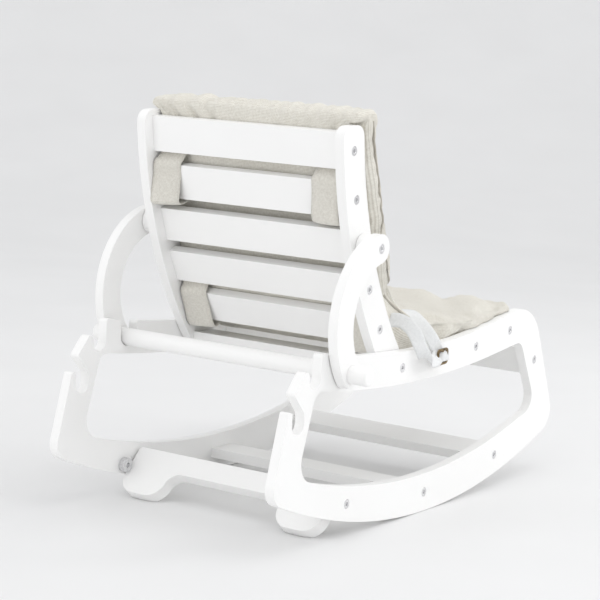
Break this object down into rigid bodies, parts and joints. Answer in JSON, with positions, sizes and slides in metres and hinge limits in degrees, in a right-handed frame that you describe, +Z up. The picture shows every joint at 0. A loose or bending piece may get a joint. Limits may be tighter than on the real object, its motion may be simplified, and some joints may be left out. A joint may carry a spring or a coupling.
{
  "type": "baby rocker",
  "caption": "Baby rocker of flat painted wood: rocking side frames, slatted backrest that folds on a notched support bail, flip-down stand, linen pad and harness webbing.",
  "frame": {"origin": "on the floor, under the middle of the overall length and width, with the stand down", "axes": "+X to the sitter's left, -Y to the front where the feet go, +Z up"},
  "size_m": [0.486, 0.8039, 0.6015],
  "materials": {
    "painted_wood": "white satin paint, softly rounded edges",
    "steel": "satin hex-socket heads",
    "linen": "coarse natural linen weave",
    "webbing": "smooth woven webbing",
    "old_brass": "antique brass slide buckle"
  },
  "bodies": {
    "frame": {"side_panel_left": "painted_wood", "side_panel_right": "painted_wood", "seat_slat_1": "painted_wood", "seat_slat_2": "painted_wood", "seat_slat_3": "painted_wood", "calf_slat": "painted_wood", "crossbar_front": "painted_wood", "crossbar_middle": "painted_wood", "frame_screws": "steel", "back_pivot_bolts": "steel", "stand_pivot_bolts": "steel", "stand_stops": "steel", "seat_cushion": "linen", "harness_strap_left": "webbing", "harness_strap_right": "webbing", "strap_buckle_left": "old_brass", "strap_buckle_right": "old_brass"},
    "backrest": {"back_rail_left": "painted_wood", "back_rail_right": "painted_wood", "hinge_slat": "painted_wood", "back_slat_1": "painted_wood", "back_slat_2": "painted_wood", "back_slat_3": "painted_wood", "back_slat_4": "painted_wood", "back_slat_5": "painted_wood", "back_screws": "steel", "arm_spacer_left": "painted_wood", "arm_spacer_right": "painted_wood", "arm_pivot_bolts": "steel", "back_cushion": "linen", "tab_upper_left": "linen", "tab_upper_right": "linen", "tab_lower_left": "linen", "tab_lower_right": "linen"},
    "bail": {"support_arm_left": "painted_wood", "support_arm_right": "painted_wood", "support_dowel": "painted_wood"},
    "stand": {"stand_bar": "painted_wood"}
  },
  "joints": [
    {"name": "backrest_hinge", "type": "hinge", "parent": "frame", "child": "backrest", "pos_m": [0, 0.088, 0.22841], "axis": [1, 0, 0], "range_deg": [0, 60]},
    {"name": "bail_hinge", "type": "hinge", "parent": "backrest", "child": "bail", "pos_m": [0, 0.1922, 0.41033], "axis": [1, 0, 0], "range_deg": [0, 6]},
    {"name": "stand_hinge", "type": "hinge", "parent": "frame", "child": "stand", "pos_m": [0, 0.2185, 0.04861], "axis": [1, 0, 0], "range_deg": [-134, 0]}
  ],
  "couplings": [
    {"joint": "bail_hinge", "follows": "backrest_hinge", "ratio": 0.1}
  ]
}
